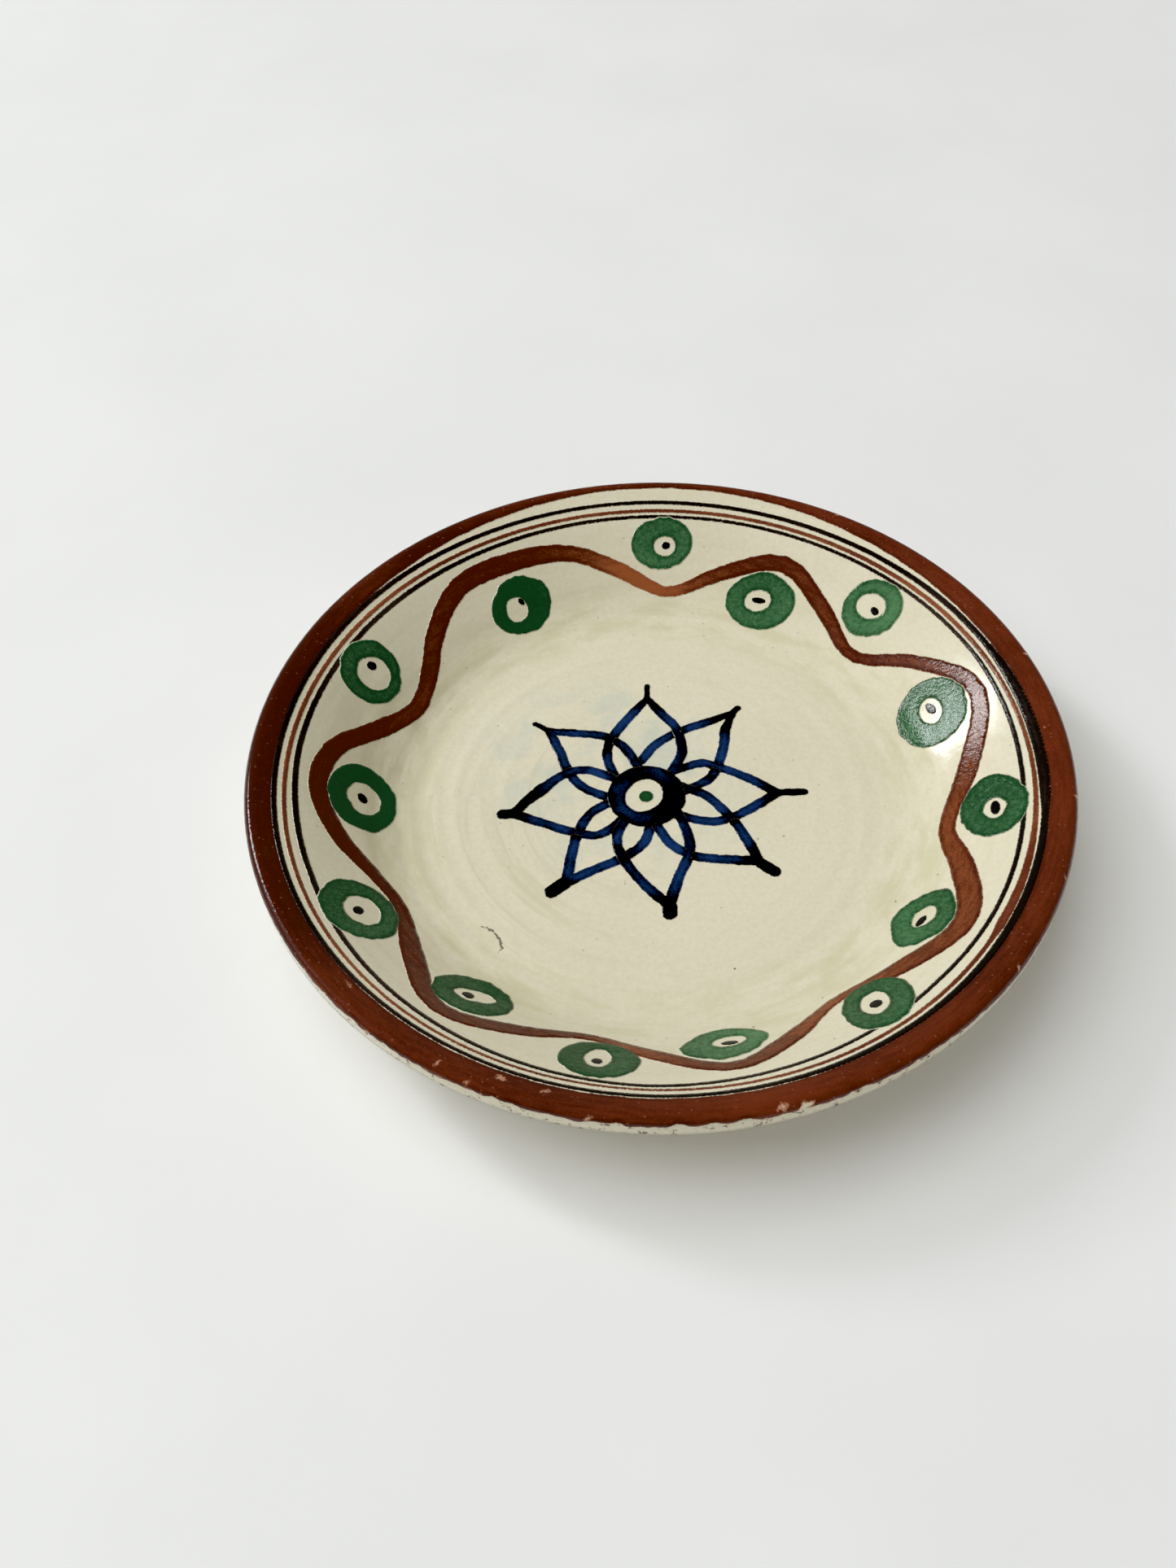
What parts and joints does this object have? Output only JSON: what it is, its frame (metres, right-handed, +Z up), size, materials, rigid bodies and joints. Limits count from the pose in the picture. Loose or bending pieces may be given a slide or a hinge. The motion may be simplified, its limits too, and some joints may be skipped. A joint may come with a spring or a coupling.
{
  "type": "painted ceramic plate",
  "caption": "Round thrown ceramic plate on a foot ring, cream slip with a brown rim, a wavy band with green eyes and a blue flower; holds or displays food.",
  "frame": {"origin": "centre of the foot ring's base, on the plate's axis", "axes": "+Z up along the plate's axis, -Y towards the side nearest the viewer, where the flower's lowest petal points, +X to the viewer's right"},
  "size_m": [0.2602, 0.2602, 0.0379],
  "materials": {
    "clay": "bare fired pinkish-buff clay, matt",
    "slip_inside": "cream slip under a clear gloss glaze",
    "slip_outside": "cream slip under a clear gloss glaze, worn and speckled",
    "rim_brown": "iron-brown brushed slip under clear glaze",
    "line_black": "manganese-black brushed line under clear glaze",
    "line_brown": "thin iron-brown brushed line under clear glaze",
    "wave_brown": "iron-brown brushed band under clear glaze",
    "eye_green": "copper-green brushed ring under clear glaze",
    "pupil_black": "black brushed spot under clear glaze",
    "flower_blue": "cobalt-blue brushed stroke under clear glaze"
  },
  "bodies": {
    "root": {"clay_body": "clay", "cream_slip_inside": "slip_inside", "cream_slip_outside": "slip_outside", "rim_band": "rim_brown", "outer_black_line": "line_black", "brown_line": "line_brown", "inner_black_line": "line_black", "wave_band": "wave_brown", "green_eye_1": "eye_green", "green_eye_2": "eye_green", "green_eye_3": "eye_green", "green_eye_4": "eye_green", "green_eye_5": "eye_green", "green_eye_6": "eye_green", "green_eye_7": "eye_green", "green_eye_8": "eye_green", "green_eye_9": "eye_green", "green_eye_10": "eye_green", "green_eye_11": "eye_green", "green_eye_12": "eye_green", "green_eye_13": "eye_green", "green_eye_14": "eye_green", "eye_pupil_1": "pupil_black", "eye_pupil_2": "pupil_black", "eye_pupil_3": "pupil_black", "eye_pupil_4": "pupil_black", "eye_pupil_5": "pupil_black", "eye_pupil_6": "pupil_black", "eye_pupil_7": "pupil_black", "eye_pupil_8": "pupil_black", "eye_pupil_9": "pupil_black", "eye_pupil_10": "pupil_black", "eye_pupil_11": "pupil_black", "eye_pupil_12": "pupil_black", "eye_pupil_13": "pupil_black", "eye_pupil_14": "pupil_black", "petal_1": "flower_blue", "petal_2": "flower_blue", "petal_3": "flower_blue", "petal_4": "flower_blue", "petal_5": "flower_blue", "petal_6": "flower_blue", "petal_7": "flower_blue", "petal_8": "flower_blue", "flower_ring": "flower_blue", "flower_centre_dot": "eye_green"}
  },
  "joints": []
}
